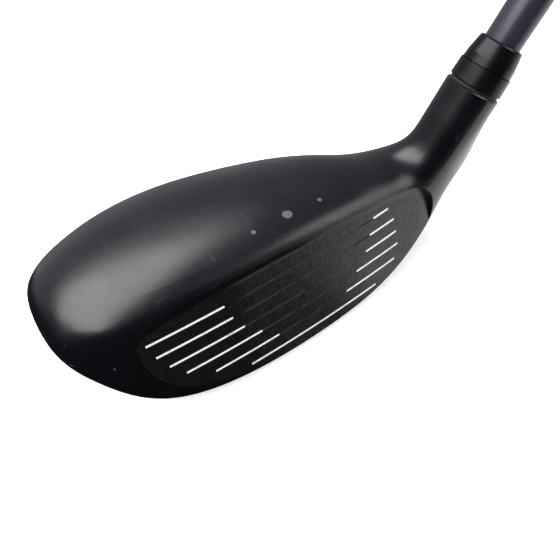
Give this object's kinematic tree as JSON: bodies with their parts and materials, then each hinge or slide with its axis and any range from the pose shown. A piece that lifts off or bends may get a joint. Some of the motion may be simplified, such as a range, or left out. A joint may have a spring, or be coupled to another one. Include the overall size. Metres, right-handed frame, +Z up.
{
  "type": "hybrid golf club",
  "caption": "Right-handed hybrid golf club with a hollow steel head, scored face insert, splined adjustable hosel, screw-in sole weight, tapered shaft and rubber grip.",
  "frame": {"origin": "point on the ground under the middle of the face, in the vertical plane that holds the hosel axis, with the club soled at address", "axes": "+Z up; +X from the toe towards the heel and the golfer's hands; -Y towards the target (the face looks along -Y), +Y away from it"},
  "size_m": [0.632, 0.0598, 0.8778],
  "materials": {
    "head_body": "satin black coated cast steel",
    "crown_plate": "satin black coated steel sheet",
    "face_plate": "matte black blasted and milled steel",
    "line_paint": "off-white paint",
    "dot_paint": "light grey paint",
    "badge": "dark anodised",
    "retainer": "plain spring steel",
    "hosel_screw": "black oxide",
    "screw_washer": "bare",
    "weight": "bead blasted tungsten alloy",
    "o_ring": "black nitrile",
    "nylon": "black nylon",
    "sleeve": "satin black anodised",
    "ferrule": "satin black",
    "shaft": "dark slate clear-coated carbon composite",
    "plug": "turned",
    "tape": "masking tape",
    "grip": "matte moulded rubber",
    "grip_cap": "matte moulded rubber"
  },
  "bodies": {
    "head": {"head_body": "head_body", "crown_plate": "crown_plate", "face_plate": "face_plate", "score_line_fill": "line_paint", "crown_alignment_dots": "dot_paint", "sole_badge": "badge", "screw_retainer": "retainer"},
    "shaft_unit": {"shaft": "shaft", "hosel_sleeve": "sleeve", "ferrule": "ferrule", "tip_plug": "plug", "grip_tape": "tape", "grip_sleeve": "grip", "grip_cap": "grip_cap"},
    "index_washer": {"collar_washer": "nylon"},
    "captive_screw": {"hosel_screw": "hosel_screw", "screw_washer": "screw_washer"},
    "weight_seal": {"weight_o_ring": "o_ring"},
    "sole_weight": {"weight_screw": "weight"}
  },
  "joints": [
    {"name": "shaft_index", "type": "hinge", "parent": "head", "child": "index_washer", "pos_m": [0.059, 0, 0.04567], "axis": [0.5075, 0, 0.8616], "continuous": true},
    {"name": "shaft_release", "type": "slide", "parent": "index_washer", "child": "shaft_unit", "axis": [0.5075, 0, 0.8616], "range_m": [0, 0.035]},
    {"name": "hosel_screw_turn", "type": "hinge", "parent": "head", "child": "captive_screw", "pos_m": [0.04225, 0, 0.01723], "axis": [-0.5075, 0, -0.8616], "continuous": true},
    {"name": "weight_travel", "type": "slide", "parent": "head", "child": "weight_seal", "axis": [0, 0.342, -0.9397], "range_m": [0, 0.011]},
    {"name": "weight_turn", "type": "hinge", "parent": "weight_seal", "child": "sole_weight", "pos_m": [-0.008, 0.0295, 0.0046], "axis": [0, 0.342, -0.9397], "range_deg": [0, 3960]}
  ],
  "couplings": [
    {"joint": "weight_turn", "follows": "weight_travel", "rad_per_m": 6283.2}
  ]
}
